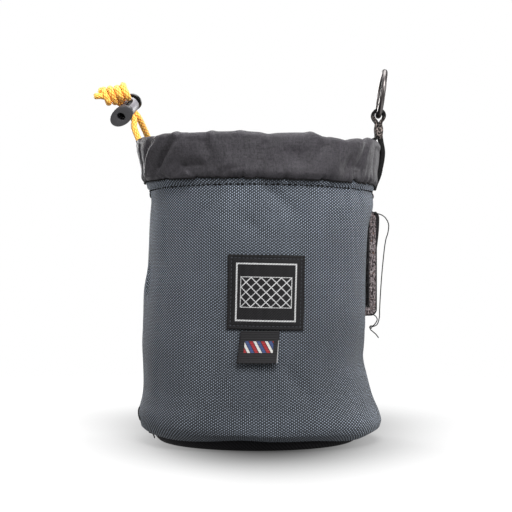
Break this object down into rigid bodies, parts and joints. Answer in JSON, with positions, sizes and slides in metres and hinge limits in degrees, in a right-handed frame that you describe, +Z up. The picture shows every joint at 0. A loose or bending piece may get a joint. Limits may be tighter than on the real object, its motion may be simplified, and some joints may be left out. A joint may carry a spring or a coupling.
{
  "type": "tool pouch",
  "caption": "Round hollow drawstring tool pouch with a black base, doubled collar, cord lock, hanging ring, belt loop and front label.",
  "frame": {"origin": "centre of the base's underside, on the surface that the pouch stands on", "axes": "+Z up out of the mouth, -Y out of the label, +X towards the ring and the belt loop"},
  "size_m": [0.1655, 0.1338, 0.2098],
  "materials": {
    "body_cloth": "woven, matte",
    "base_cloth": "coated, matte",
    "collar_cloth": "thin, soft sheen",
    "cord": "braided",
    "lock_barrel": "satin",
    "lock_plunger": "satin",
    "strap_webbing": "woven, matte",
    "ring_metal": "blackened",
    "loop_webbing": "flecked, matte",
    "label": "embroidered",
    "tab": "printed ribbon"
  },
  "bodies": {
    "pouch": {"body_wall": "body_cloth", "base_panel": "base_cloth", "collar": "collar_cloth", "drawcord_loop": "cord", "drawcord_end_a": "cord", "drawcord_end_b": "cord", "cord_knot": "cord", "lock_barrel": "lock_barrel", "hang_strap": "strap_webbing", "belt_loop": "loop_webbing", "label_patch": "label", "label_tab": "tab"},
    "plunger": {"lock_plunger": "lock_plunger"},
    "ring": {"hang_ring": "ring_metal"}
  },
  "joints": [
    {"name": "plunger_press", "type": "slide", "parent": "pouch", "child": "plunger", "axis": [-0.3199, -0.7758, -0.5439], "range_m": [0, 0.002], "stiffness_N_per_m": 400, "springref_m": -0.003},
    {"name": "ring_swing", "type": "hinge", "parent": "pouch", "child": "ring", "pos_m": [0.0688, 0, 0.1834], "axis": [0, 1, 0], "range_deg": [-120, 145]}
  ]
}
